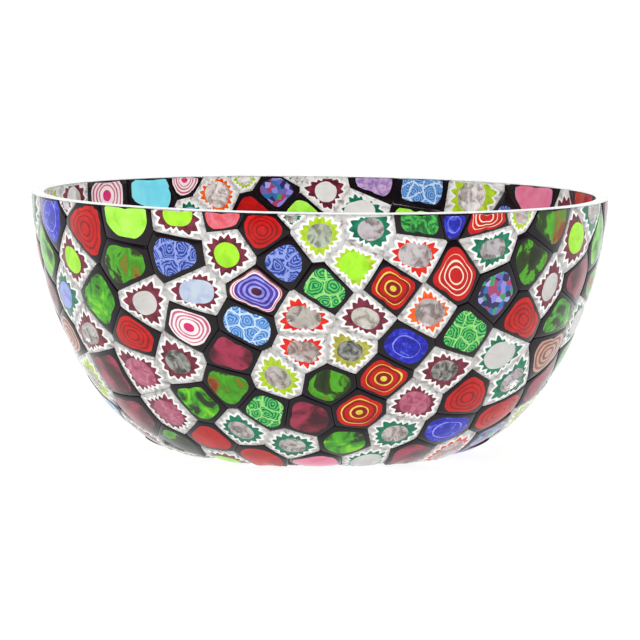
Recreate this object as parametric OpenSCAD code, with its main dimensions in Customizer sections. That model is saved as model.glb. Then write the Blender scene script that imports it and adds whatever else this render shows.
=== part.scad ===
// Art glass bowl: slices of patterned glass cane, fused edge to edge into a round bowl with a clear lip.
// Origin at the middle of the flat base, +Z up; azimuth 0 faces -Y and grows towards +X.

/* [Bowl] */
// Radius of the rim, outside
rim_r = 100; // [80:1:120]
// Height of the rim above the table
bowl_h = 89; // [72:1:107]
// Radius of the flat ground base
base_r = 47; // [39:1:57]
// Radius of the round corner between wall and base
heel_r = 22; // [18:1:27]
// Lean of the wall at the rim, from upright
rim_lean = 2; // [0:1:6]
// Tilt of the hand-made rim, higher on the -X side
rim_tilt = 0.7; // [0:0.1:1.2]

/* [Glass] */
// Thickness of the fused glass
wall = 4.4; // [3.5:0.1:5.5]
// Radius of the low crown on the outside of every slice
crown_r = 50; // [35:1:80]
// Radius of the crown on the slices of the heel, which turn with it
heel_crown_r = 30; // [25:1:50]
// Depth that the base is ground below the crowns
grind = 1.2; // [0.8:0.1:1.6]
// Joint between neighbouring slices
seam = 0.1; // [0.05:0.01:0.2]

/* [Lip] */
// Height of the clear lip
lip_h = 0.8; // [0.7:0.1:2]
// Radius of the lip's two edges
lip_edge = 0.5; // [0.3:0.1:0.6]

/* [Base] */
// Distance between slices on the base
base_pitch = 17; // [14:1:20]

/* [Hidden] */
$fn = 96;

// The courses below are laid out down a wall of this length
layout_length = 111;
// A back slice lower than this repeats the front slice opposite it
back_start = 21;
// No slice reaches further than this from its middle
slice_reach = 30;
// Planes this close to a corner of a slice are cut too
corner_slack = 1.5;
// Blanks reach this far into the bowl, past the inner face
blank_depth = wall + 12;
// The hollow reaches this far above the rim, and its lower arcs this far into the arc above
over = 4;
// Each arc of the hollow stands this far outside the one above, so that they cross
proud_arc = 0.02;

// Slices on the front half: cane, azimuth in degrees, distance down the wall from the rim
FRONT = [
    // rim course, the first of them cut by the rim
    ["teal_clear", -83, 5], ["cobalt", -66, 6], ["burgundy_white", -58, -7], ["red_ring", -52, 8],
    ["lime", -40, 4], ["burgundy_lime", -27, 2], ["coral_ring", -18, -1], ["red_ring", -11, 6],
    ["teal_clear", -5, -4], ["lime_clear", 0, 7], ["teal_clear", 9, 5], ["emerald", 19, 2],
    ["cobalt", 26, -2], ["red_white_ring", 33, 3], ["lime_clear", 42, -3], ["forest", 50, 6],
    ["teal_clear", 67, 4], ["ruby", 84, 7],
    // second course
    ["green", -72, 19], ["red_ring", -87, 20], ["burgundy_lime", -57, 19], ["forest", -41, 19],
    ["lapis", -28, 15], ["burgundy_lime", -17, 13], ["lapis", -7, 16], ["lime_core", 6, 17],
    ["red_clear", 18, 14], ["teal_clear", 34, 12], ["forest", 46, 19], ["burgundy_lime", 61, 15],
    ["green", 75, 16], ["teal_white", 90, 20],
    // third course
    ["teal_blue", -64, 33], ["green", -51, 32], ["burgundy_white", -38, 32], ["burgundy_blue", -25, 27],
    ["purple_eye", -12, 26], ["green_lace", 1, 25], ["red_yellow_ring", 14, 25],
    ["red_white_ring", 27, 22], ["violet_mosaic", 37, 28], ["burgundy_white", 52, 28],
    ["ruby", 64, 27], ["forest", 78, 30], ["ruby", -78, 34],
    // fourth course
    ["burgundy_clear", -59, 45], ["red_ring", -42, 44], ["pink_ring", -27, 39], ["sky_lace", -15, 38],
    ["red_clear", -3, 35], ["burgundy_clear", 9, 35], ["orange_clear", 22, 34],
    ["red_ring", 46, 38], ["green", 61, 39], ["teal_white", 76, 43], ["red", -88, 44],
    // fifth course
    ["rose_ring", -74, 49], ["burgundy_pink", -44, 57], ["burgundy_grey", -32, 53], ["ruby", -19, 49],
    ["red_clear", -3, 47], ["olive_star", 6, 47], ["cobalt", 18, 46], ["green_lace", 31, 42],
    ["teal_white", 43, 51], ["rose_ring", 62, 53], ["emerald", 80, 56],
    // sixth course
    ["ruby", -57, 60], ["forest", -21, 61], ["lime_clear", -9, 57], ["forest", 2, 60],
    ["red_yellow_ring", 14, 57], ["burgundy_grey", 28, 56], ["teal_clear", 50, 64],
    ["ruby", 68, 67], ["lime_clear", -72, 64], ["burgundy_clear", -89, 62],
    // seventh course
    ["burgundy_pink", -40, 75], ["green", -30, 69], ["green_lace", -13, 71], ["ruby", -3, 74],
    ["red_yellow_ring", 9, 71], ["burgundy_pink", 23, 68], ["red_ring", 37, 68], ["red_ring", 53, 76],
    ["ruby", -57, 80], ["sky_lace", -79, 77], ["lime_clear", 72, 79], ["red_ring", 90, 78],
    // eighth course
    ["red", -32, 87], ["teal_clear", -21, 81], ["teal_clear", -8, 89], ["green", 7, 87],
    ["teal_clear", 20, 82], ["cobalt", 36, 82], ["violet_mosaic", 60, 91], ["forest", -49, 93],
    ["burgundy_clear", -70, 93], ["green", 80, 94], ["red", -90, 94],
    // heel course
    ["red", -20, 98], ["pink", -1, 102], ["teal_white", 16, 100], ["ruby", 30, 97],
    ["red_clear", 47, 97], ["burgundy_lime", -34, 102], ["teal_clear", -56, 105], ["lime", -78, 106],
    ["cobalt", 66, 105], ["burgundy_pink", 83, 107]
];

// Slices of the two upper courses of the back half, whose inner faces show over the front rim
BACK = [
    // rim course
    ["red", 102, 6], ["pink", 126, 6], ["lime_clear", 144, 8], ["sky_lace", 157, 5], ["lilac", 168, 1],
    ["burgundy_white", 179, 6], ["teal_clear", 187, -4], ["violet_mosaic", 190, 6],
    ["lime_clear", 197, -3], ["orange_clear", 204, 7], ["pink_ring", 211, -2], ["sky_blue", 220, 6],
    ["pink_ring", 235, 6], ["burgundy_white", 247, 5], ["lime_clear", 261, 5],
    // second course
    ["burgundy_lime", 113, 20], ["lapis", 134, 20], ["lime", 158, 19], ["teal_white", 171, 14],
    ["lime", 184, 16], ["red", 195, 15], ["teal_blue", 209, 17], ["green", 223, 20],
    ["red_yellow_ring", 240, 20], ["forest", 254, 20]
];

// Canes taken in turn for the slices of the base
BASE_CANES = ["burgundy_clear", "cobalt", "lime_clear", "ruby", "teal_white", "green", "pink_ring"];

// ---- Profile: an upper arc, a lower arc and the heel, tangent to each other.
// A slope is the wall's angle from upright, and the outward normal at a slope is normal_2d(slope).
mid_slope = atan((rim_r - base_r) / bowl_h);
low_slope = 2 * mid_slope - rim_lean;
rise = bowl_h - heel_r * (1 - sin(low_slope));
run = rim_r - base_r - heel_r * cos(low_slope);
upper_rise = sin(mid_slope) - sin(rim_lean);
upper_run = cos(rim_lean) - cos(mid_slope);
lower_rise = sin(low_slope) - sin(mid_slope);
lower_run = cos(mid_slope) - cos(low_slope);
arc_det = upper_rise * lower_run - upper_run * lower_rise;
upper_r = (rise * lower_run - run * lower_rise) / arc_det;
lower_r = (upper_rise * run - upper_run * rise) / arc_det;

upper_c = [rim_r, bowl_h] - upper_r * normal_2d(rim_lean);
lower_c = upper_c + (upper_r - lower_r) * normal_2d(mid_slope);
heel_c = [base_r, heel_r];

upper_len = arc_length(upper_r, mid_slope - rim_lean);
lower_len = arc_length(lower_r, low_slope - mid_slope);
heel_len = arc_length(heel_r, 90 - low_slope);
wall_len = upper_len + lower_len + heel_len;

function normal_2d(slope) = [cos(slope), -sin(slope)];
function arc_length(r, angle) = r * angle * PI / 180;
function arc_slope(r, length) = length / r * 180 / PI;

// Slope of the outside at a distance down the wall
function slope_at(s) =
    s < 0 ? rim_lean
    : s < upper_len ? rim_lean + arc_slope(upper_r, s)
    : s < upper_len + lower_len ? mid_slope + arc_slope(lower_r, s - upper_len)
    : s < wall_len ? low_slope + arc_slope(heel_r, s - upper_len - lower_len)
    : 90;

// Point of the outside, as radius and height, at a distance down the wall
function outside_at(s) =
    let (n = normal_2d(slope_at(s)))
    s < 0 ? [rim_r, bowl_h] + s * [-sin(rim_lean), -cos(rim_lean)]
    : s < upper_len ? upper_c + upper_r * n
    : s < upper_len + lower_len ? lower_c + lower_r * n
    : s < wall_len ? heel_c + heel_r * n
    : [base_r - (s - wall_len), 0];

function turn_out(azimuth, rz) = [rz[0] * sin(azimuth), -rz[0] * cos(azimuth), rz[1]];

// ---- Slices: [cane, middle on the outside, outward normal]
function slice_at(cane, azimuth, s) =
    [cane, turn_out(azimuth, outside_at(s)), turn_out(azimuth, normal_2d(slope_at(s)))];

stretch = wall_len / layout_length;
wall_slices = [
    for (f = FRONT) slice_at(f[0], f[1], f[2] * stretch),
    for (f = FRONT) if (f[2] > back_start) slice_at(f[0], f[1] + 180, f[2] * stretch),
    for (b = BACK) slice_at(b[0], b[1], b[2] * stretch)
];
base_rings = floor(base_r / base_pitch);
ring_step = base_r / (base_rings + 0.5);
function ring_count(ring) = ring == 0 ? 1 : round(2 * PI * ring * ring_step / base_pitch);
base_slices = [
    for (ring = [0:base_rings], i = [0:ring_count(ring) - 1])
        slice_at(BASE_CANES[(i + 4 * (ring + 1)) % len(BASE_CANES)], i * 360 / ring_count(ring) + 9 * ring,
            wall_len + base_r - ring * ring_step)
];
slices = concat(wall_slices, base_slices);

// ---- Joints: the plane half-way to a neighbour is [outward normal, distance from the slice's middle]
function joint_plane(from, to) = [(to - from) / norm(to - from), (norm(to - from) - seam) / 2];
function level(plane, p) = plane[0] * p - plane[1];

// Keeps the part of a polygon that lies behind a plane
function clip(polygon, plane) = [
    for (i = [0:len(polygon) - 1])
        let (a = polygon[i], b = polygon[(i + 1) % len(polygon)], la = level(plane, a), lb = level(plane, b))
        each concat(la <= 0 ? [a] : [], la * lb < 0 ? [a + (b - a) * la / (la - lb)] : [])
];
function clip_all(polygon, planes, i = 0) =
    i == len(planes) || len(polygon) == 0 ? polygon : clip_all(clip(polygon, planes[i]), planes, i + 1);

// Planes of the joints round a slice, without those that its nearer neighbours hide
function joint_planes(slice) =
    let (
        middle = slice[1],
        out = slice[2],
        side = cross(out, abs(out[2]) < 0.9 ? [0, 0, 1] : [0, 1, 0]),
        across = side / norm(side),
        along = cross(out, across),
        planes = [
            for (other = slices)
                let (apart = norm(other[1] - middle))
                if (apart > 0 && apart < 2 * slice_reach) joint_plane(middle, other[1])
        ],
        blank = [for (q = [[1, 1], [-1, 1], [-1, -1], [1, -1]]) slice_reach * (q[0] * across + q[1] * along)],
        corners = clip_all(blank, planes)
    )
    [for (plane = planes) if (max([for (c = corners) level(plane, c)]) > -corner_slack) plane];

// ---- Solids
// Points local +Z along a direction
module aim(direction) {
    rotate([0, acos(direction[2]), atan2(direction[1], direction[0])]) children();
}

// A block that lies behind a plane through the point
module behind(point, direction, size) {
    translate(point) aim(direction) translate([-size / 2, -size / 2, -size]) cube(size);
}

// Part of a disc between two heights, filled to the axis
module disc_band(centre, r, low, high) {
    intersection() {
        union() {
            translate(centre) circle(r, $fn = 360);
            translate([0, low]) square([max(centre[0], 1), high - low]);
        }
        translate([0, low]) square([2 * rim_r, high - low]);
    }
}

// The hollow of the bowl, one wall inside the outer profile
module hollow() {
    upper_low = upper_c[1] - (upper_r - wall) * sin(mid_slope);
    lower_low = lower_c[1] - (lower_r - wall) * sin(low_slope);
    rotate_extrude($fn = 180) {
        disc_band(upper_c, upper_r - wall, upper_low, bowl_h + over);
        disc_band(lower_c, lower_r - wall + proud_arc, lower_low, upper_low + over);
        disc_band(heel_c, heel_r - wall + 2 * proud_arc, wall, lower_low + over);
    }
}

// One slice: a crowned blank, hollowed, then cut to its joints, and to the lip and base where it meets them
module slice_solid(slice) {
    middle = slice[1];
    out = slice[2];
    size = 2 * slice_reach;
    flat = out[2] < -0.999;
    proud = flat ? grind : 0;
    crown = flat || out[2] > -sin(low_slope) ? crown_r : heel_crown_r;
    intersection() {
        difference() {
            intersection() {
                behind(middle - blank_depth * out, -out, size);
                translate(middle + (proud - crown) * out) aim(out) rotate([0, 90, 0]) sphere(crown);
            }
            hollow();
        }
        intersection_for(plane = joint_planes(slice))
            behind(middle + plane[1] * plane[0], plane[0], size);
        if (middle[2] > bowl_h - slice_reach)
            behind([0, 0, bowl_h - lip_h - seam], [sin(rim_tilt), 0, cos(rim_tilt)], 3 * rim_r);
        if (middle[2] < slice_reach) behind([0, 0, 0], [0, 0, -1], 3 * rim_r);
    }
}

// All slices cut from one cane
module cane(name) {
    for (slice = slices) if (slice[0] == name) slice_solid(slice);
}

// ---- Sub-parts
// Clear glass lip round the rim, as wide as the wall, with softened edges
module rim_lip() {
    low_r = rim_r - wall;
    color("ghostwhite") translate([0, 0, bowl_h]) rotate([0, rim_tilt, 0]) translate([0, 0, -lip_h])
        rotate_extrude($fn = 180) intersection() {
            translate([low_r, 0]) square([wall, lip_h]);
            union() {
                translate([low_r, 0]) square([wall, lip_h - lip_edge]);
                translate([low_r + lip_edge, 0]) square([wall - 2 * lip_edge, lip_h]);
                for (r = [low_r + lip_edge, rim_r - lip_edge])
                    translate([r, lip_h - lip_edge]) circle(lip_edge);
            }
        }
}

// Plain lime green
module lime() { color("greenyellow") cane("lime"); }
// Bright green
module green() { color("limegreen") cane("green"); }
// Emerald with darker streaks
module emerald() { color("seagreen") cane("emerald"); }
// Dark green with a flame of yellow or brown
module forest() { color("darkolivegreen") cane("forest"); }
// Cobalt blue with a fine pale line
module cobalt() { color("mediumblue") cane("cobalt"); }
// Dark blue lace
module lapis() { color("slateblue") cane("lapis"); }
// Light blue lace of small rings
module sky_lace() { color("cornflowerblue") cane("sky_lace"); }
// Green lace of small rings
module green_lace() { color("mediumseagreen") cane("green_lace"); }
// Violet, blue and green fragments
module violet_mosaic() { color("mediumpurple") cane("violet_mosaic"); }
// Purple and blue rings round a dark eye
module purple_eye() { color("indigo") cane("purple_eye"); }
// Pink and white rings
module pink_ring() { color("palevioletred") cane("pink_ring"); }
// Red rings, one inside another
module red_ring() { color("firebrick") cane("red_ring"); }
// Red rings parted by white
module red_white_ring() { color("crimson") cane("red_white_ring"); }
// Red rings parted by yellow
module red_yellow_ring() { color("orangered") cane("red_yellow_ring"); }
// Coral and pink rings
module coral_ring() { color("lightcoral") cane("coral_ring"); }
// Brown and pink rings
module rose_ring() { color("rosybrown") cane("rose_ring"); }
// Clear ruby
module ruby() { color("brown") cane("ruby"); }
// Plain red
module red() { color("red") cane("red"); }
// Plain sky blue
module sky_blue() { color("skyblue") cane("sky_blue"); }
// Plain pink
module pink() { color("hotpink") cane("pink"); }
// Plain lilac
module lilac() { color("plum") cane("lilac"); }
// Burgundy star with a clear middle
module burgundy_clear() { color("maroon") cane("burgundy_clear"); }
// Burgundy star with a lime middle
module burgundy_lime() { color("yellowgreen") cane("burgundy_lime"); }
// Burgundy star with a white middle
module burgundy_white() { color("mistyrose") cane("burgundy_white"); }
// Burgundy star with a pale blue middle
module burgundy_blue() { color("lightsteelblue") cane("burgundy_blue"); }
// Burgundy star with a pink middle
module burgundy_pink() { color("deeppink") cane("burgundy_pink"); }
// Burgundy star with a grey-green middle
module burgundy_grey() { color("gray") cane("burgundy_grey"); }
// Teal star with a clear middle
module teal_clear() { color("teal") cane("teal_clear"); }
// Teal star with a white middle
module teal_white() { color("aquamarine") cane("teal_white"); }
// Teal star with a blue middle
module teal_blue() { color("royalblue") cane("teal_blue"); }
// Lime star with a clear middle
module lime_clear() { color("khaki") cane("lime_clear"); }
// Lime star with a lime middle
module lime_core() { color("chartreuse") cane("lime_core"); }
// Olive star with a dark middle
module olive_star() { color("olive") cane("olive_star"); }
// Red star with a clear pink middle
module red_clear() { color("tomato") cane("red_clear"); }
// Orange star with a clear middle
module orange_clear() { color("darkorange") cane("orange_clear"); }

rim_lip();
lime();
green();
emerald();
forest();
cobalt();
lapis();
sky_lace();
green_lace();
violet_mosaic();
purple_eye();
pink_ring();
red_ring();
red_white_ring();
red_yellow_ring();
coral_ring();
rose_ring();
ruby();
red();
sky_blue();
pink();
lilac();
burgundy_clear();
burgundy_lime();
burgundy_white();
burgundy_blue();
burgundy_pink();
burgundy_grey();
teal_clear();
teal_white();
teal_blue();
lime_clear();
lime_core();
olive_star();
red_clear();
orange_clear();
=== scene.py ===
import math
import random

import bpy
import numpy as np
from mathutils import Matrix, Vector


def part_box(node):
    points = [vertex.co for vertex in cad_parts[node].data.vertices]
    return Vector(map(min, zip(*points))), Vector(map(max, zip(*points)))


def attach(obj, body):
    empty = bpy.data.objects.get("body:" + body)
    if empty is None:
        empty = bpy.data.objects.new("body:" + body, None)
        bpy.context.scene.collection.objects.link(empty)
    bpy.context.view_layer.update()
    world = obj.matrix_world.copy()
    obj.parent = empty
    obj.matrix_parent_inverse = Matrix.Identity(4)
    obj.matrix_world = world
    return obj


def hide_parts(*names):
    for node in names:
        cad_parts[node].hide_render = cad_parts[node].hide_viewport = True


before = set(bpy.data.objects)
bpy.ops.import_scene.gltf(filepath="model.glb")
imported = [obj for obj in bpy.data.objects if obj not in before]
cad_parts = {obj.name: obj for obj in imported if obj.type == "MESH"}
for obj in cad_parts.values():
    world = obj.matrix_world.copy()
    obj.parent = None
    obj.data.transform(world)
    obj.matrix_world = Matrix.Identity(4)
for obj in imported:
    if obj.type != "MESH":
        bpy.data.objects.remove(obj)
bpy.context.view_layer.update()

# An art glass bowl of fused cane slices. Every slice is rebuilt from its CAD solid: the outline and the two
# faces come from there, and the cane's pattern runs through the wall as nested closed pieces of glass.
# No two slices have the same outline or teeth, so they are built one by one and not as instances.

MM = 0.001

# Soda glass has an IOR of 1.5. The coloured canes are fire-polished, and white and clear canes are cloudier,
# because fine bubbles and crystals in them scatter the light.
GLOSS = {"IOR": 1.5, "Roughness": 0.07, "Specular_IOR_Level": 0.25}
MILKY = {"IOR": 1.5, "Roughness": 0.3, "Specular_IOR_Level": 0.35}
FIBRES = 3.2          # how many fibres a cane's casing shows round its edge, in noise cells per radian
FIBRE_STRETCH = 0.12  # how fast a fibre changes on its way out, in noise cells per millimetre
LACE_LINE = 0.06      # half the width of the pale line between two thin canes, as a share of a cane


# ---------------------------------------------------------------- colours and nodes

def linear(hex_colour):
    """An sRGB hex colour as linear RGBA."""
    parts = [int(hex_colour[i:i + 2], 16) / 255 for i in (1, 3, 5)]
    return [p / 12.92 if p <= 0.04045 else ((p + 0.055) / 1.055) ** 2.4 for p in parts] + [1.0]


def add_node(tree, kind, settings=None, links=None):
    """Adds a node. settings are attributes, input values or the stops of a colour ramp, and links go from
    an input to an output socket."""
    node = tree.nodes.new(kind)
    for name, value in (settings or {}).items():
        if name == "stops":
            elements = node.color_ramp.elements
            while len(elements) < len(value):
                elements.new(1.0)
            for element, (position, colour) in zip(elements, value):
                element.position = position
                element.color = linear(colour)
        elif name == "interpolation":
            node.color_ramp.interpolation = value
        elif isinstance(name, str) and hasattr(node, name):
            setattr(node, name, value)
        else:
            node.inputs[name].default_value = value
    for name, socket in (links or {}).items():
        tree.links.new(socket, node.inputs[name])
    return node


def new_material(name, **surface):
    """A Principled material with the values set on its own sockets. Returns it with its tree and shader."""
    material = bpy.data.materials.new(name)
    material.use_nodes = True
    tree = material.node_tree
    shader = tree.nodes["Principled BSDF"]
    for socket, value in surface.items():
        shader.inputs[socket.replace("_", " ")].default_value = value
    return material, tree, shader


def object_noise(tree, size_mm, detail=3.0, distortion=0.0):
    """Noise on object coordinates whose blobs are about size_mm across."""
    place = add_node(tree, "ShaderNodeTexCoord").outputs["Object"]
    return add_node(
        tree, "ShaderNodeTexNoise",
        {"Scale": 1 / (size_mm * MM), "Detail": detail, "Roughness": 0.55, "Distortion": distortion},
        {"Vector": place},
    ).outputs["Fac"]


def ray_noise(tree):
    """Noise drawn out along the radius of each slice, like the fibres of a pulled cane seen on end."""
    rays = add_node(tree, "ShaderNodeAttribute", {"attribute_name": "rays"}).outputs["Vector"]
    scaled = add_node(tree, "ShaderNodeMapping", {"Scale": (FIBRES, FIBRES, FIBRE_STRETCH)}, {"Vector": rays})
    return add_node(tree, "ShaderNodeTexNoise", {"Scale": 1.0, "Detail": 3.0, "Roughness": 0.6},
                    {"Vector": scaled.outputs["Vector"]}).outputs["Fac"]


def fused_surface(tree, shader, height_mm=0.05, size_mm=4.0):
    """The soft unevenness that glass keeps when it is fused and fire-polished."""
    noise = object_noise(tree, size_mm, detail=2.0)
    bump = add_node(tree, "ShaderNodeBump", {"Strength": 0.6, "Distance": height_mm * MM},
                    {"Height": noise})
    tree.links.new(bump.outputs["Normal"], shader.inputs["Normal"])


def mottled_glass(name, stops, size_mm=3.0, distortion=0.6, **surface):
    """Glass whose colour drifts between the stops in blobs of size_mm."""
    material, tree, shader = new_material(name, **{**GLOSS, **surface})
    noise = object_noise(tree, size_mm, detail=4.0, distortion=distortion)
    colour = add_node(tree, "ShaderNodeValToRGB", {"stops": stops}, {"Fac": noise})
    tree.links.new(colour.outputs["Color"], shader.inputs["Base Color"])
    fused_surface(tree, shader)
    return material


def streaked_glass(name, stops, **surface):
    """Glass with pale and dark streaks that run out from the middle of the slice."""
    material, tree, shader = new_material(name, **{**GLOSS, **surface})
    colour = add_node(tree, "ShaderNodeValToRGB", {"stops": stops}, {"Fac": ray_noise(tree)})
    tree.links.new(colour.outputs["Color"], shader.inputs["Base Color"])
    fused_surface(tree, shader, 0.08, 2.0)
    return material


def lace_glass(name, line, stops, cell_mm=4.5, ring_mm=0.9, bend_mm=2.5):
    """A bundle of thin canes pulled together: cells with rings inside, parted by pale lines."""
    material, tree, shader = new_material(name, **GLOSS)
    place = add_node(tree, "ShaderNodeUVMap", {"uv_map": "cane"}).outputs["UV"]
    wobble = add_node(tree, "ShaderNodeTexNoise", {"Scale": 0.3, "Detail": 2.0}, {"Vector": place})
    push = add_node(tree, "ShaderNodeVectorMath", {"operation": "SCALE", "Scale": bend_mm},
                    {0: wobble.outputs["Color"]})
    bent = add_node(tree, "ShaderNodeVectorMath", {"operation": "ADD"}, {0: place, 1: push.outputs[0]})
    bundle = {"voronoi_dimensions": "2D", "Scale": 1 / cell_mm, "Randomness": 0.8}
    cells = add_node(tree, "ShaderNodeTexVoronoi", bundle, {"Vector": bent.outputs[0]})
    edges = add_node(tree, "ShaderNodeTexVoronoi", {"feature": "DISTANCE_TO_EDGE", **bundle},
                     {"Vector": bent.outputs[0]})
    turns = add_node(tree, "ShaderNodeMath", {"operation": "MULTIPLY", 1: 2 * math.pi * cell_mm / ring_mm},
                     {0: cells.outputs["Distance"]})
    wave = add_node(tree, "ShaderNodeMath", {"operation": "SINE"}, {0: turns.outputs[0]})
    half = add_node(tree, "ShaderNodeMath", {"operation": "MULTIPLY_ADD", 1: 0.5, 2: 0.5},
                    {0: wave.outputs[0]})
    inside = add_node(tree, "ShaderNodeValToRGB", {"stops": stops}, {"Fac": half.outputs[0]})
    on_line = add_node(tree, "ShaderNodeMath", {"operation": "LESS_THAN", 1: LACE_LINE},
                       {0: edges.outputs["Distance"]})
    mixed = add_node(tree, "ShaderNodeMix", {"data_type": "RGBA", 7: linear(line)},
                     {0: on_line.outputs[0], 6: inside.outputs["Color"]})
    tree.links.new(mixed.outputs[2], shader.inputs["Base Color"])
    fused_surface(tree, shader)
    return material


def shard_glass(name, colours, shard_mm=1.9):
    """Broken shards of many colours, each one plain."""
    material, tree, shader = new_material(name, **GLOSS)
    place = add_node(tree, "ShaderNodeUVMap", {"uv_map": "cane"}).outputs["UV"]
    shards = add_node(tree, "ShaderNodeTexVoronoi", {"voronoi_dimensions": "2D", "Scale": 1 / shard_mm},
                      {"Vector": place})
    pick = add_node(tree, "ShaderNodeSeparateColor", links={"Color": shards.outputs["Color"]})
    stops = [(i / len(colours), colour) for i, colour in enumerate(colours)]
    plain = add_node(tree, "ShaderNodeValToRGB", {"interpolation": "CONSTANT", "stops": stops},
                     {"Fac": pick.outputs["Red"]})
    tree.links.new(plain.outputs["Color"], shader.inputs["Base Color"])
    fused_surface(tree, shader)
    return material


# ---------------------------------------------------------------- materials

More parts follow.
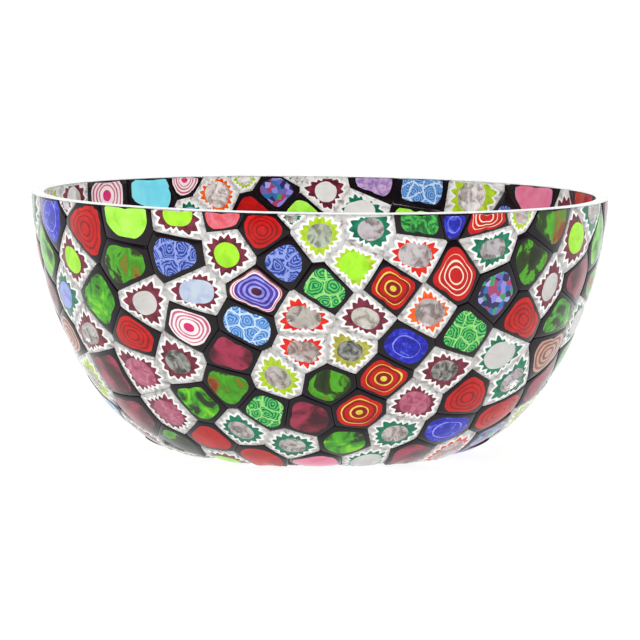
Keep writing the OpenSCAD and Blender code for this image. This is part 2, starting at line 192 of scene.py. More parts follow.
# All of it is soft soda glass pulled to cane. Metal oxides give the colour, and a coloured cane is uneven
# across, because the gather was folded before it was pulled.
M = {
    # Manganese amethyst, laid thick: black to the eye, with a trace of violet
    "amethyst": mottled_glass("dark_amethyst_glass", [(0.3, "#0d080c"), (0.7, "#1c141b")], 8.0),
    # Clear glass round the white line: grey, with pale streaks along its fibres. The grey and pale tones are
    # painted see-through light, standing in for the bright surroundings and the white line seen through its
    # depth
    "clear_casing": streaked_glass(
        "clear_casing_glass", [(0.34, "#9b9592"), (0.42, "#d8d4d0"), (0.5, "#fbfaf9")],
        **{**MILKY, "Transmission_Weight": 0.5}),
    # Lattimo, opaque milk-white glass
    "lattimo": mottled_glass("lattimo_glass", [(0.3, "#e9e7e2"), (0.7, "#fbfbf9")], 4.0, **MILKY),

    # The stars: nearly opaque glass, even in colour
    "burgundy": mottled_glass("burgundy_glass", [(0.3, "#4a1420"), (0.7, "#8a3044")], 2.5),
    "teal": mottled_glass("teal_glass", [(0.3, "#04503a"), (0.7, "#188a68")], 2.5),
    "lime_star": mottled_glass("lime_star_glass", [(0.3, "#8fb512"), (0.7, "#c3dc3a")], 2.5),
    "olive": mottled_glass("olive_glass", [(0.3, "#8a8a22"), (0.7, "#c4c052")], 2.0),
    "star_red": mottled_glass("scarlet_glass", [(0.3, "#c4120c"), (0.7, "#ee3018")], 2.5),
    "star_orange": mottled_glass("orange_glass", [(0.3, "#e23c06"), (0.7, "#f8761c")], 2.5),

    # Clear greens and blues: light comes through them, and folds in the gather show as dark and bright clouds
    "lime": mottled_glass("lime_glass", [(0.35, "#93d92a"), (0.62, "#b4fb5c")], 6.0),
    "green": mottled_glass(
        "bright_green_glass", [(0.4, "#22380e"), (0.45, "#3c9412"), (0.54, "#55c416"), (0.62, "#8ee80c")],
        7.0, 0.8, Transmission_Weight=0.25),
    "emerald": mottled_glass(
        "emerald_glass", [(0.38, "#0c4a20"), (0.5, "#1f8a36"), (0.6, "#52cc5a")], 4.0, 2.0,
        Transmission_Weight=0.25),
    "forest": mottled_glass(
        "forest_flame_glass", [(0.36, "#182506"), (0.45, "#2c4408"), (0.48, "#56b41a"), (0.55, "#3c8c10"),
                               (0.58, "#8a7c0c"), (0.64, "#8c3a0a")], 13.0, 0.5, Transmission_Weight=0.15),
    "cobalt": mottled_glass(
        "cobalt_glass", [(0.38, "#12149a"), (0.56, "#242ed8"), (0.68, "#6e7cf0")], 3.0, 1.0,
        Transmission_Weight=0.2),
    "cobalt_line": mottled_glass("pale_blue_thread", [(0.3, "#4c5cf0"), (0.7, "#b8b4f0")], 3.0),

    # Bundles of ringed canes fused and pulled once more, and a cane rolled in coloured shards
    "lapis": lace_glass(
        "lapis_lace_glass", "#8c9cdc", [(0.0, "#1c2f86"), (0.5, "#3c58b4"), (1.0, "#8294d4")], 6.0, 1.0, 4.0),
    "sky_lace": lace_glass(
        "sky_lace_glass", "#c6dcec", [(0.0, "#2f66b4"), (0.5, "#5c94d4"), (1.0, "#8ab4e6")]),
    "green_lace": lace_glass(
        "green_lace_glass", "#9ad67a", [(0.0, "#0f5a4a"), (0.5, "#2aa04c"), (1.0, "#62d05a")], 5.0, 1.0),
    "violet_mosaic": shard_glass(
        "violet_shard_glass", ["#6a66b8", "#8f86d6", "#2f6fae", "#3f9a62", "#a8406a", "#30305c", "#a9a4e2"]),

    # Gold ruby is clear and deep. Selenium red, pink, sky blue and lilac are opaque and even
    "ruby": mottled_glass(
        "ruby_glass", [(0.38, "#4c1222"), (0.47, "#7b1f34"), (0.5, "#8e2640"), (0.6, "#b83658")], 9.0, 0.6,
        Transmission_Weight=0.3),
    "red": mottled_glass("plain_red_glass", [(0.3, "#9c0c10"), (0.7, "#d01c18")], 6.0),
    "red_dark": mottled_glass("dark_red_glass", [(0.3, "#780608"), (0.7, "#980c0e")], 4.0),
    "red_bright": mottled_glass("bright_red_glass", [(0.3, "#ac0a0c"), (0.7, "#d01812")], 4.0),
    "sky_blue": mottled_glass("sky_blue_glass", [(0.3, "#6fdcf4"), (0.7, "#8cecfc")], 6.0),
    "pink": mottled_glass("plain_pink_glass", [(0.3, "#d96c8e"), (0.7, "#ea86a4")], 6.0),
    "lilac": mottled_glass("lilac_glass", [(0.35, "#8a6cae"), (0.65, "#d1b0d8")], 3.0, 2.0),

    # Thin layers gathered one over the other, which the cut shows as rings
    "coral": mottled_glass("coral_glass", [(0.3, "#d8484c"), (0.7, "#f07c80")], 3.0),
    "rose_white": mottled_glass("rose_white_glass", [(0.3, "#f2dede"), (0.7, "#fbf2f2")], 3.0),
    "rose": mottled_glass("rose_glass", [(0.3, "#b84e70"), (0.7, "#d67894")], 3.0),
    "magenta": mottled_glass("magenta_glass", [(0.3, "#c8185c"), (0.7, "#e63c82")], 2.0),
    "yellow": mottled_glass("yellow_thread_glass", [(0.3, "#d8b018"), (0.7, "#f0e468")], 3.0),
    "cream": mottled_glass("cream_thread_glass", [(0.3, "#ecc8a0"), (0.7, "#fbf0e0")], 3.0),
    "brown": mottled_glass("brown_glass", [(0.3, "#6a3428"), (0.7, "#96584a")], 3.0),
    "tan": mottled_glass("tan_glass", [(0.3, "#b08474"), (0.7, "#caa494")], 3.0),
    "violet": mottled_glass("violet_glass", [(0.3, "#3a1c78"), (0.7, "#5a3cae")], 3.0),
    "periwinkle": mottled_glass("periwinkle_glass", [(0.3, "#6a70d0"), (0.7, "#a4acee")], 3.0),
    "plum": mottled_glass("plum_glass", [(0.3, "#380c28"), (0.7, "#5c1c3a")], 3.0),

    # Cores of the stars: clear or thinly coloured rods. The clear core's grey and pale clouds and its
    # near-white base are painted see-through light, standing in for what lies behind and the light shining
    # through
    "clear_core": mottled_glass(
        "clear_core_glass", [(0.4, "#a39b96"), (0.46, "#dccdc9"), (0.53, "#fbf3f1"), (0.6, "#ffffff")],
        5.0, 1.5, **{**MILKY, "Roughness": 0.15, "Transmission_Weight": 0.7}),
    "white_core": mottled_glass(
        "white_core_glass", [(0.34, "#f2efe8"), (0.6, "#ffffff")], 5.0,
        **{**MILKY, "Transmission_Weight": 0.5}),
    "lime_core": mottled_glass("lime_core_glass", [(0.34, "#93d420"), (0.6, "#a9ee30")], 5.0),
    "blue_core": mottled_glass(
        "pale_blue_core_glass", [(0.34, "#b8ccf4"), (0.6, "#dfeaf8")], 4.0,
        **{**MILKY, "Transmission_Weight": 0.3}),
    "violet_core": mottled_glass("blue_violet_core_glass", [(0.34, "#7480c8"), (0.6, "#9aa4e4")], 4.0),
    "pink_core": mottled_glass(
        "pink_core_glass", [(0.34, "#a84464"), (0.5, "#c86484"), (0.66, "#d88aa0")], 4.0, 1.5,
        Transmission_Weight=0.3),
    "grey_core": mottled_glass(
        "grey_core_glass", [(0.4, "#4c4a46"), (0.5, "#8c9088"), (0.62, "#c4c4bc")], 4.0, 1.5,
        Transmission_Weight=0.4),
}


# ---------------------------------------------------------------- slices from the CAD solids

RIM_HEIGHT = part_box("rim_lip")[1][2]
LIP_COVER = 0.4 * MM         # the slices reach this far up into the lip, which has melted over them
LIP_ZONE = 4 * MM            # slices that come this near the rim's top are cut by the lip
MIDDLE_BELOW_LIP = 0.8 * MM  # the middle of such a slice stays at least this far below the cut
TOP_EDGE = 0.35 * MM         # what counts as the edge of the cut
WELD = 0.005 * MM            # corners nearer than this are one corner
LEAST_REACH = 0.05 * MM      # the least distance from a slice's middle to its side
GROUND = 0.05 * MM           # below this a face belongs to the ground base and not to the crown
SLACK = 0.1 * MM             # how far a fitted face may pass the heights of the real one
OUTER_TURN = 0.72            # cosine to a slice's direction above which a triangle is on the outer face
INNER_TURN = -0.6            # and below which it is on the inner face
HOLD = 0.02                  # weight of the bowl's own bend in the fit of a face
BOWL_BEND = -0.005           # half of one over the bowl's radius of 100 mm


class Slice:
    """One slice of cane: its middle, its own axes, and the outline and the height of both faces."""


def loose_parts(points, triangles):
    """Groups triangles that share corners, after corners in the same place are merged."""
    grid = np.round(points / WELD).astype(np.int64)
    _, welded = np.unique(grid, axis=0, return_inverse=True)
    welded = welded.reshape(-1)
    corner = welded[triangles]
    label = np.arange(welded.max() + 1)
    while True:
        low = label[corner].min(axis=1)
        new = label.copy()
        for k in range(3):
            np.minimum.at(new, corner[:, k], low)
        new = new[new]
        if (new == label).all():
            break
        label = new
    part = label[corner[:, 0]]
    return [triangles[part == p] for p in np.unique(part)]


def hull_2d(points):
    """Corners of the convex hull, counter-clockwise."""
    pts = sorted(set(map(tuple, np.round(points, 7))))
    def half(seq):
        out = []
        for p in seq:
            while len(out) > 1 and ((out[-1][0] - out[-2][0]) * (p[1] - out[-2][1])
                                    - (out[-1][1] - out[-2][1]) * (p[0] - out[-2][0])) <= 0:
                out.pop()
            out.append(p)
        return out
    lower, upper = half(pts), half(pts[::-1])
    return np.array(lower[:-1] + upper[:-1])


def reach(hull, angles):
    """Distance from the origin to a convex outline in every direction."""
    a, b = hull, np.roll(hull, -1, axis=0)
    edge = b - a
    normal = np.stack([edge[:, 1], -edge[:, 0]], axis=1)
    length = np.linalg.norm(normal, axis=1)
    keep = length > 1e-7
    normal = normal[keep] / length[keep, None]
    offset = np.maximum((normal * a[keep]).sum(axis=1), LEAST_REACH)
    facing = np.cos(angles)[:, None] * normal[:, 0] + np.sin(angles)[:, None] * normal[:, 1]
    hit = np.where(facing > 1e-6, offset / np.maximum(facing, 1e-6), np.inf)
    return hit.min(axis=1)


def height_fit(uvw):
    """A quadratic surface through points: the height over the slice's own plane, in millimetres. Where the
    points say little, it bends as the bowl does."""
    u, v, w = uvw.T / MM
    terms = np.stack([np.ones_like(u), u, v, u * u, u * v, v * v], axis=1)
    hold = np.diag([0, 0, 0, HOLD, HOLD, HOLD])
    bend = np.array([0, 0, 0, BOWL_BEND, 0, BOWL_BEND])
    return np.linalg.lstsq(np.vstack([terms, hold]), np.concatenate([w, hold @ bend]), rcond=None)[0]


def height(fit, u, v):
    a, b = u / MM, v / MM
    return (fit[0] + fit[1] * a + fit[2] * b + fit[3] * a * a + fit[4] * a * b + fit[5] * b * b) * MM


def read_slices(node):
    """Reads the slices of one CAD node."""
    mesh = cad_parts[node].data
    points = np.empty(len(mesh.vertices) * 3)
    mesh.vertices.foreach_get("co", points)
    points = points.reshape(-1, 3)
    mesh.calc_loop_triangles()
    triangles = np.empty(len(mesh.loop_triangles) * 3, dtype=np.int64)
    mesh.loop_triangles.foreach_get("vertices", triangles)
    found = []
    for part in loose_parts(points, triangles.reshape(-1, 3)):
        corners = points[part]
        cross = np.cross(corners[:, 1] - corners[:, 0], corners[:, 2] - corners[:, 0])
        area = np.linalg.norm(cross, axis=1) / 2
        normals = cross / np.maximum(2 * area, 1e-16)[:, None]
        middles = corners.mean(axis=1)
        centre = (middles * area[:, None]).sum(axis=0) / area.sum()
        out = centre - np.array([0, 0, RIM_HEIGHT])
        out /= np.linalg.norm(out)
        for _ in range(3):
            outer = normals @ out > OUTER_TURN
            out = (normals[outer] * area[outer, None]).sum(axis=0)
            out /= np.linalg.norm(out)
        inner = normals @ out < INNER_TURN
        middle = (middles[outer] * area[outer, None]).sum(axis=0) / area[outer].sum()
        across = np.cross([0, 0, 1.0] if abs(out[2]) < 0.95 else [0, 1.0, 0], out)
        across /= np.linalg.norm(across)
        along = np.cross(out, across)
        axes = np.stack([across, along, out])
        s = Slice()
        s.axes = axes
        outer_pts = (corners[outer].reshape(-1, 3) - middle) @ axes.T
        inner_pts = (corners[inner].reshape(-1, 3) - middle) @ axes.T
        crown = outer & (corners[:, :, 2].max(axis=1) > GROUND)
        crown_pts = (corners[crown].reshape(-1, 3) - middle) @ axes.T if crown.any() else outer_pts
        s.cut_by_lip = corners[:, :, 2].max() > RIM_HEIGHT - LIP_ZONE
        shift = np.zeros(2)
        if s.cut_by_lip:
            # A slice cut by the lip keeps its middle where the whole slice would have it
            wide = np.ptp(outer_pts[:, 0]) / 2
            shift[1] = np.clip(outer_pts[:, 1].min() + wide, 0, outer_pts[:, 1].max() - MIDDLE_BELOW_LIP)
        s.middle = middle + shift @ axes[:2]
        for pts in (outer_pts, inner_pts, crown_pts):
            pts[:, :2] -= shift
            if s.cut_by_lip:
                pts[pts[:, 1] > pts[:, 1].max() - TOP_EDGE, 1] += LIP_COVER
        s.outer_hull = hull_2d(outer_pts[:, :2])
        s.inner_hull = hull_2d(inner_pts[:, :2])
        s.outer_fit = height_fit(crown_pts)
        s.inner_fit = height_fit(inner_pts)
        s.outer_span = outer_pts[:, 2].min() - SLACK, outer_pts[:, 2].max() + SLACK
        s.inner_span = inner_pts[:, 2].min() - SLACK, inner_pts[:, 2].max() + SLACK
        found.append(s)
    return found


# ---------------------------------------------------------------- patterns

SEAM = 0.045 * MM         # the slices swell by this to close the joints of the CAD solids
SAMPLES = 96              # directions round a slice
RING_SHRINK = 0.93        # leaves a broad dark casing round the coloured rings
VALLEY = 0.67             # how far out a star's valleys are, as a share of the slice
TOOTH = 0.26              # how much further out its longest points reach
LINE_WIDTH = 0.56 * MM    # half the width of the white line, which thickens toward the points
LEAST_GLASS = 0.06 * MM   # the least thickness of a layer of glass
LEAST_CASING = 0.75 * MM  # the least thickness of the casing at the joint
LEAST_CORE = 0.2 * MM     # the least radius of a layer
CLEAR_GROOVE = 0.15 * MM  # how deep the joint is drawn in beside clear casing
DARK_GROOVE = 0.42 * MM   # and beside dark casing


def smooth_loop(radius, keep):
    """Keeps the first few harmonics of a closed outline."""
    spectrum = np.fft.rfft(radius)
    spectrum[keep + 1:] = 0
    return np.fft.irfft(spectrum, len(radius))


def wander(rng, count, size, keep=5):
    """A smooth random closed curve about 1."""
    wave = np.ones(count)
    angle = np.linspace(0, 2 * math.pi, count, endpoint=False)
    for k in range(1, keep + 1):
        wave += size / k * rng.uniform(-1, 1) * np.cos(k * angle + rng.uniform(0, 6.283))
    return wave


def zigzag(rng, count, points):
    """A closed zigzag from 0 to 1 with uneven teeth."""
    place = np.linspace(0, points, count, endpoint=False)
    tooth = np.floor(place).astype(int)
    lean = np.array([rng.uniform(0.42, 0.58) for _ in range(points)])[tooth]
    tall = np.array([rng.uniform(0.72, 1.0) for _ in range(points)])
    base = np.array([rng.uniform(0.0, 0.15) for _ in range(points + 1)])
    base[points] = base[0]
    t = place - tooth
    low = np.where(t < lean, base[tooth], base[tooth + 1])
    rise = np.where(t < lean, t / lean, (1 - t) / (1 - lean))
    return low + (tall[tooth] - low) * rise


def star(colour, core, points=15, core_share=0.5):
    """A star of colour inside a white zigzag line and clear casing. core_share is the core's share of the
    slice."""
    return {"kind": "star", "glass": ["clear_casing", "lattimo", colour, core], "points": points, "keep": 4,
            "core": core_share}


def rings(*bands, round_keep=3):
    """Rings in dark casing. bands are (share of the slice, glass) from outside in, and round_keep is how many
    waves of the slice's own outline they keep."""
    return {"kind": "rings", "glass": ["amethyst"] + [b[1] for b in bands], "shares": [b[0] for b in bands],
            "keep": round_keep}


def even_rings(glasses, outer, inner):
    """Rings of equal width, the glasses taken in turn."""
    step = (outer - inner) / (len(glasses) - 1)
    return rings(*[(outer - step * i, glass) for i, glass in enumerate(glasses)])


PATTERNS = {
    "lime": rings((0.86, "lime")),
    "green": rings((0.83, "green"), round_keep=5),
    "emerald": rings((0.84, "emerald"), round_keep=4),
    "forest": rings((0.84, "forest"), round_keep=4),
    "cobalt": rings((0.86, "cobalt"), (0.56, "cobalt_line"), (0.52, "cobalt")),
    "lapis": rings((0.82, "lapis")),
    "sky_lace": rings((0.84, "sky_lace"), round_keep=5),
    "green_lace": rings((0.84, "green_lace"), round_keep=4),
    "violet_mosaic": rings((0.8, "violet_mosaic"), round_keep=5),
    "purple_eye": rings((0.94, "brown"), (0.9, "rose_white"), (0.87, "rose"),
                        (0.83, "rose_white"), (0.79, "violet"), (0.68, "periwinkle"), (0.61, "violet"),
                        (0.5, "periwinkle"), (0.4, "violet"), (0.3, "periwinkle"), (0.2, "plum"),
                        round_keep=7),
    "pink_ring": rings((0.86, "rose_white"), (0.78, "rose"), (0.7, "rose_white"), (0.6, "rose"),
                       (0.52, "rose_white"), (0.44, "rose"), (0.38, "rose_white"), (0.22, "magenta")),
    "red_ring": rings((0.87, "red_bright"), (0.7, "red_dark"), (0.63, "red_bright"),
                      (0.5, "red_dark"), (0.44, "red_bright"), (0.3, "red_dark"), (0.22, "red_bright")),
    "red_white_ring": rings((0.9, "red_bright"), (0.73, "cream"), (0.69, "red_bright"),
                            (0.54, "cream"), (0.49, "red_bright"), (0.35, "cream"), (0.29, "red_bright"),
                            round_keep=5),
    "red_yellow_ring": rings((0.88, "red_bright"), (0.71, "yellow"), (0.67, "red_dark"),
                             (0.56, "red_bright"), (0.38, "yellow"), (0.32, "red_dark"), (0.14, "yellow"),
                             round_keep=5),
    "coral_ring": rings((0.88, "coral"), (0.7, "rose"), (0.6, "coral"), (0.4, "rose"),
                        (0.3, "coral")),
    "rose_ring": even_rings(["tan", "brown", "tan", "brown", "tan", "brown", "tan"], 0.84, 0.2),
    "ruby": rings((0.85, "ruby"), round_keep=5),
    "red": rings((0.84, "red")),
    "sky_blue": rings((0.86, "sky_blue")),
    "pink": rings((0.86, "pink")),
    "lilac": rings((0.8, "lilac")),
    "burgundy_clear": star("burgundy", "clear_core"),
    "burgundy_lime": star("burgundy", "lime_core"),
    "burgundy_white": star("burgundy", "white_core"),
    "burgundy_blue": star("burgundy", "blue_core", 17, core_share=0.6),
    "burgundy_pink": star("burgundy", "pink_core", 18, core_share=0.6),
    "burgundy_grey": star("burgundy", "grey_core"),
    "teal_clear": star("teal", "clear_core"),
    "teal_white": star("teal", "white_core", 17, core_share=0.62),
    "teal_blue": star("teal", "violet_core", 14),
    "lime_clear": star("lime_star", "clear_core", 16),
    "lime_core": star("lime_star", "lime_core", 17, core_share=0.62),
    "olive_star": star("olive", "grey_core", 17),
    "red_clear": star("star_red", "clear_core", 16, core_share=0.6),
    "orange_clear": star("star_orange", "clear_core", 18, core_share=0.6),
}


def pattern_loops(s, spec, rng, outline):
    """Radii of the borders between the glasses, from outside in."""
    count = len(outline)
    angle = np.linspace(0, 2 * math.pi, count, endpoint=False)
    whole = outline.copy()
    if s.cut_by_lip:
        # The pattern is that of the whole slice, so its lower half is mirrored to the cut-off side
        mirrored = outline[(-np.arange(count)) % count]
        whole = np.maximum(outline, np.where(np.sin(angle) > 0, mirrored, 0))
    rounded = smooth_loop(whole, spec["keep"])
    oval = smooth_loop(whole, 2)
    rounded = np.minimum(rounded, whole * 1.02)
    loops = []
    if spec["kind"] == "star":
        teeth = zigzag(rng, count, spec["points"])
        body = rounded * wander(rng, count, 0.03)
        line = body * (VALLEY + TOOTH * teeth)
        half = LINE_WIDTH * (0.9 + 0.4 * teeth)
        loops = [line + half, line - half, oval * spec["core"] * wander(rng, count, 0.06, 8)]
    else:
        for share in spec["shares"]:
            # The outer rings follow the slice's outline, and further in they turn oval
            inward = max(0.0, min(1.0, (0.9 - share) / 0.6))
            shape = rounded * (1 - inward) + oval * inward
            loops.append(shape * share * RING_SHRINK * wander(rng, count, 0.02 + 0.015 * inward))
    return loops


class Builder:
    """Collects the glass of all slices of one cane in one mesh."""

    def __init__(self, glasses):
        self.glasses = list(dict.fromkeys(glasses))
        self.points, self.uvs, self.rays, self.faces, self.slots = [], [], [], [], []
        self.count = 0

    def add_loop(self, points, uv, direction, radius):
        """Adds points with their places across the cane, and returns the number of the first."""
        start = self.count
        self.points.append(points)
        self.uvs.append(uv)
        self.rays.append(np.column_stack([direction, radius / MM]))
        self.count += len(points)
        return start

    def strip(self, a, b, n, slot):
        """Joins two loops of n points."""
        i = np.arange(n)
        j = (i + 1) % n
        self.faces.append(np.stack([a + i, a + j, b + j, b + i], axis=1))
        self.slots.append(np.full(n, slot))

    def fan(self, loop, centre, n, slot, flip):
        """Closes a loop of n points to its middle."""
        i = np.arange(n)
        j = (i + 1) % n
        order = [loop + j, loop + i] if flip else [loop + i, loop + j]
        self.faces.append(np.stack([order[0], order[1], np.full(n, centre), np.full(n, -1)], axis=1))
        self.slots.append(np.full(n, slot))

    def mesh(self, name):
        points = np.concatenate(self.points)
        uvs = np.concatenate(self.uvs)
        faces = [tuple(f[:3]) if f[3] < 0 else tuple(f) for f in np.concatenate(self.faces).tolist()]
        mesh = bpy.data.meshes.new(name)
        mesh.from_pydata(points.tolist(), [], faces)
        mesh.polygons.foreach_set("material_index", np.concatenate(self.slots).astype(np.int32))
        layer = mesh.uv_layers.new(name="cane")
        loops = np.empty(len(mesh.loops), dtype=np.int32)
        mesh.loops.foreach_get("vertex_index", loops)
        layer.data.foreach_set("uv", (uvs[loops] / MM).ravel())
        rays = mesh.attributes.new("rays", "FLOAT_VECTOR", "POINT")
        rays.data.foreach_set("vector", np.concatenate(self.rays).astype(np.float32).ravel())
        for glass in self.glasses:
            mesh.materials.append(M[glass])
        mesh.polygons.foreach_set("use_smooth", np.ones(len(mesh.polygons), dtype=bool))
        mesh.set_sharp_from_angle(angle=math.radians(40))
        mesh.validate()
        mesh.update()
        return mesh


def build_slice(builder, s, spec, rng):
    """Adds one slice: closed nested pieces of glass that run from the outer face to the inner one."""
    count = SAMPLES
    angle = np.linspace(0, 2 * math.pi, count, endpoint=False)
    outline = reach(s.outer_hull, angle) + SEAM
    # Cane ends narrow or widen toward the inner face
    taper = np.clip((reach(s.inner_hull, angle) + SEAM) / outline, 0.6, 1.15)
    direction = np.stack([np.cos(angle), np.sin(angle)], axis=1)
    # Each slice reads its glass at another place, so that no two are alike
    offset = np.array([rng.uniform(-400, 400), rng.uniform(-400, 400)]) * MM

    def face_loop(radius, outer, sink=0.0):
        flat = direction * (radius if outer else radius * taper)[:, None]
        fit, span = (s.outer_fit, s.outer_span) if outer else (s.inner_fit, s.inner_span)
        w = np.clip(height(fit, flat[:, 0], flat[:, 1]), *span) + (-sink if outer else sink)
        points = s.middle + flat @ s.axes[:2] + w[:, None] * s.axes[2]
        points[:, 2] = np.maximum(points[:, 2], sink)
        return builder.add_loop(points, direction * radius[:, None] + offset, direction, radius)

    def centre_point(outer):
        fit = s.outer_fit if outer else s.inner_fit
        point = s.middle + fit[0] * MM * s.axes[2]
        point[2] = max(point[2], 0)
        return builder.add_loop(point[None, :], offset[None, :], np.zeros((1, 2)), np.zeros(1))

    loops = pattern_loops(s, spec, rng, outline)
    limit = np.maximum(outline - LEAST_CASING, outline * 0.5)
    borders = []
    for radius in loops:
        borders.append(np.maximum(np.minimum(radius, limit), LEAST_CORE))
        limit = borders[-1] - LEAST_GLASS
    casing = builder.glasses.index(spec["glass"][0])
    groove = CLEAR_GROOVE if spec["glass"][0] == "clear_casing" else DARK_GROOVE
    # Radius and depth of each loop from the joint inwards: the fused edge rounds off toward the face
    edge = [(outline, groove), (outline - 0.14 * MM, 0.48 * groove), (outline - 0.36 * MM, 0.14 * groove),
            (outline - 0.66 * MM, 0.0)]
    inner_edge = [(outline, 0.1 * MM), (outline - 0.3 * MM, 0.0)]
    top = [face_loop(r, True, sink) for r, sink in edge] + [face_loop(borders[0], True)]
    low = [face_loop(r, False, sink) for r, sink in inner_edge] + [face_loop(borders[0], False)]
    for a, b in zip(top, top[1:]):
        builder.strip(a, b, count, casing)
    for a, b in zip(low, low[1:]):
        builder.strip(b, a, count, casing)
    builder.strip(low[0], top[0], count, casing)
    builder.strip(top[-1], low[-1], count, casing)
    for k, glass in enumerate(spec["glass"][1:]):
        slot = builder.glasses.index(glass)
        last = k == len(borders) - 1
        radii = borders[k], borders[k] * 0.5 if last else borders[k + 1]
        top = [face_loop(r, True) for r in radii]
        low = [face_loop(r, False) for r in radii]
        builder.strip(top[0], top[1], count, slot)
        builder.strip(low[1], low[0], count, slot)
        builder.strip(low[0], top[0], count, slot)
        if last:
            builder.fan(top[1], centre_point(True), count, slot, False)
            builder.fan(low[1], centre_point(False), count, slot, True)
        else:
            builder.strip(top[1], low[1], count, slot)


def build_cane(node, number):
    spec = PATTERNS[node]
    builder = Builder(spec["glass"])
    for k, s in enumerate(read_slices(node)):
        build_slice(builder, s, spec, random.Random(1000 * number + k))
    piece = bpy.data.objects.new(node + "_slices", builder.mesh(node + "_slices"))
    bpy.context.scene.collection.objects.link(piece)
    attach(piece, "root")
    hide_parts(node)


for number, node in enumerate(PATTERNS):
    build_cane(node, number)


# ---------------------------------------------------------------- clear lip

LIP_TURNS = 360   # steps round the rim
LIP_STEPS = 12    # steps across its rounded top
LIP_SIDE = 0.35   # share of the lip's height that stands straight before it rounds over
LIP_DIP = 0.08    # how much lower the hand-made top is at its lowest


def build_lip():
    """The clear lip: a ring with a fire-polished, slightly uneven top."""
    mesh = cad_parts["rim_lip"].data
    co = np.empty(len(mesh.vertices) * 3)
    mesh.vertices.foreach_get("co", co)
    co = co.reshape(-1, 3)
    flat = np.c_[co[:, :2], np.ones(len(co))]
    plane = np.linalg.lstsq(flat, co[:, 2], rcond=None)[0]
    rest = co[:, 2] - flat @ plane
    low, high = rest.min(), rest.max()
    radius = np.hypot(co[:, 0], co[:, 1])
    half = (radius.max() - radius.min()) / 2
    middle = (radius.max() + radius.min()) / 2
    thick = high - low - LIP_COVER
    profile = [(-half, 0.0)]
    for k in range(LIP_STEPS + 1):
        a = math.pi - math.pi * k / LIP_STEPS
        profile.append((half * math.cos(a) * 0.995, thick * (LIP_SIDE + (1 - LIP_SIDE) * math.sin(a))))
    profile.append((half, 0.0))
    uneven = wander(random.Random(7), LIP_TURNS, 0.03, 9)
    n = len(profile)
    points, faces = [], []
    for i in range(LIP_TURNS):
        a = 2 * math.pi * i / LIP_TURNS
        swell = 1 - LIP_DIP + LIP_DIP * min(uneven[i], 1.0)
        after = (i + 1) % LIP_TURNS
        for k, (r, h) in enumerate(profile):
            x, y = (middle + r) * math.cos(a), (middle + r) * math.sin(a)
            points.append((x, y, plane[0] * x + plane[1] * y + plane[2] + low + LIP_COVER + h * swell))
            faces.append((i * n + k, i * n + (k + 1) % n, after * n + (k + 1) % n, after * n + k))
    lip = bpy.data.meshes.new("clear_lip")
    lip.from_pydata(points, [], faces)
    # Clear glass coloured near white: painted light, standing in for the brightness it shows where it is seen
    # along its length
    material, tree, shader = new_material("clear_lip_glass", **{**MILKY, "Transmission_Weight": 0.45})
    colour = add_node(tree, "ShaderNodeValToRGB", {"stops": [(0.3, "#eef1f0"), (0.7, "#ffffff")]},
                      {"Fac": object_noise(tree, 9.0)})
    tree.links.new(colour.outputs["Color"], shader.inputs["Base Color"])
    fused_surface(tree, shader, 0.06, 7.0)
    lip.materials.append(material)
    lip.polygons.foreach_set("use_smooth", [True] * len(faces))
    lip.set_sharp_from_angle(angle=math.radians(50))
    piece = bpy.data.objects.new("clear_lip", lip)
    bpy.context.scene.collection.objects.link(piece)
    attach(piece, "root")
    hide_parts("rim_lip")


build_lip()


# ---------------------------------------------------------------- studio

FLOOR = 30                         # metres from the middle to each side of the floor
CAMERA_DISTANCE = 1.3              # metres
CAMERA_RISE = math.radians(5.75)   # just enough to look over the rim on the far wall's inside


def aim_at(obj, place, target):
    obj.location = place
    track = Vector(target) - Vector(place)
    obj.rotation_euler = track.to_track_quat("-Z", "Y").to_euler()


def build_world(scene):
    """White all round. Reflections see a darker studio on the camera's side, as behind a black flag."""
    world = bpy.data.worlds.new("studio")
    scene.world = world
    world.use_nodes = True
    tree = world.node_tree
    view = add_node(tree, "ShaderNodeTexCoord").outputs["Generated"]
    depth = add_node(tree, "ShaderNodeSeparateXYZ", links={"Vector": view}).outputs["Y"]
    flag = add_node(tree, "ShaderNodeMapRange",
                    {"From Min": 0.35, "From Max": -0.25, "To Min": 0.0, "To Max": 0.88},
                    {"Value": depth}).outputs["Result"]
    glossy = add_node(tree, "ShaderNodeLightPath").outputs["Is Glossy Ray"]
    dark = add_node(tree, "ShaderNodeMath", {"operation": "MULTIPLY"}, {0: flag, 1: glossy}).outputs[0]
    bright = add_node(tree, "ShaderNodeMath", {"operation": "SUBTRACT", 0: 1.0}, {1: dark}).outputs[0]
    tree.links.new(bright, tree.nodes["Background"].inputs["Strength"])
    tree.nodes["Background"].inputs["Color"].default_value = (1, 1, 1, 1)


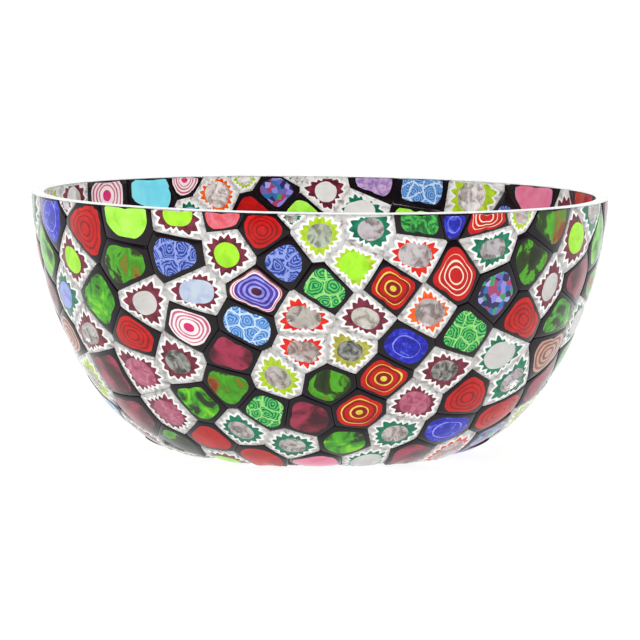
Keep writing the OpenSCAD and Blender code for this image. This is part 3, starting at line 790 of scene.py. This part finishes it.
def build_studio():
    scene = bpy.context.scene
    middle = (0, 0, 0.0445)
    # Pale floor, lit so evenly that it reads as white. Reflections see it darker in front, as they do the
    # surroundings
    floor_mesh = bpy.data.meshes.new("floor")
    corners = [(-FLOOR, -FLOOR, 0), (FLOOR, -FLOOR, 0), (FLOOR, FLOOR, 0), (-FLOOR, FLOOR, 0)]
    floor_mesh.from_pydata(corners, [], [(0, 1, 2, 3)])
    floor = bpy.data.objects.new("floor", floor_mesh)
    floor.location.z = -0.2 * MM
    scene.collection.objects.link(floor)
    material, tree, shader = new_material("white_paper", Roughness=0.9)
    shader.inputs["Base Color"].default_value = (0.14, 0.14, 0.14, 1)
    shader.inputs["Emission Color"].default_value = (1, 1, 1, 1)
    place = add_node(tree, "ShaderNodeTexCoord").outputs["Object"]
    depth = add_node(tree, "ShaderNodeSeparateXYZ", links={"Vector": place}).outputs["Y"]
    flag = add_node(tree, "ShaderNodeMapRange",
                    {"From Min": -0.75, "From Max": -0.35, "To Min": 0.77, "To Max": 0.0},
                    {"Value": depth}).outputs["Result"]
    glossy = add_node(tree, "ShaderNodeLightPath").outputs["Is Glossy Ray"]
    dark = add_node(tree, "ShaderNodeMath", {"operation": "MULTIPLY"}, {0: flag, 1: glossy}).outputs[0]
    bright = add_node(tree, "ShaderNodeMath", {"operation": "SUBTRACT", 0: 0.92}, {1: dark}).outputs[0]
    tree.links.new(bright, shader.inputs["Emission Strength"])
    floor_mesh.materials.append(material)
    build_world(scene)
    for name, place, size, power in (
        ("key", (-0.7, -0.9, 1.3), 0.7, 5),
        ("top", (0.1, -0.3, 1.2), 0.7, 8),
    ):
        light = bpy.data.lights.new(name, "AREA")
        light.shape = "DISK"
        light.size = size
        light.energy = power
        lamp = bpy.data.objects.new(name, light)
        scene.collection.objects.link(lamp)
        aim_at(lamp, place, middle)
    camera = bpy.data.cameras.new("camera")
    camera.lens = 210
    camera.sensor_width = 36
    camera.clip_end = 100
    eye = bpy.data.objects.new("camera", camera)
    scene.collection.objects.link(eye)
    back, up = CAMERA_DISTANCE * math.cos(CAMERA_RISE), CAMERA_DISTANCE * math.sin(CAMERA_RISE)
    aim_at(eye, (0, -back, middle[2] + up), middle)
    scene.camera = eye
    scene.view_settings.view_transform = "Standard"


build_studio()
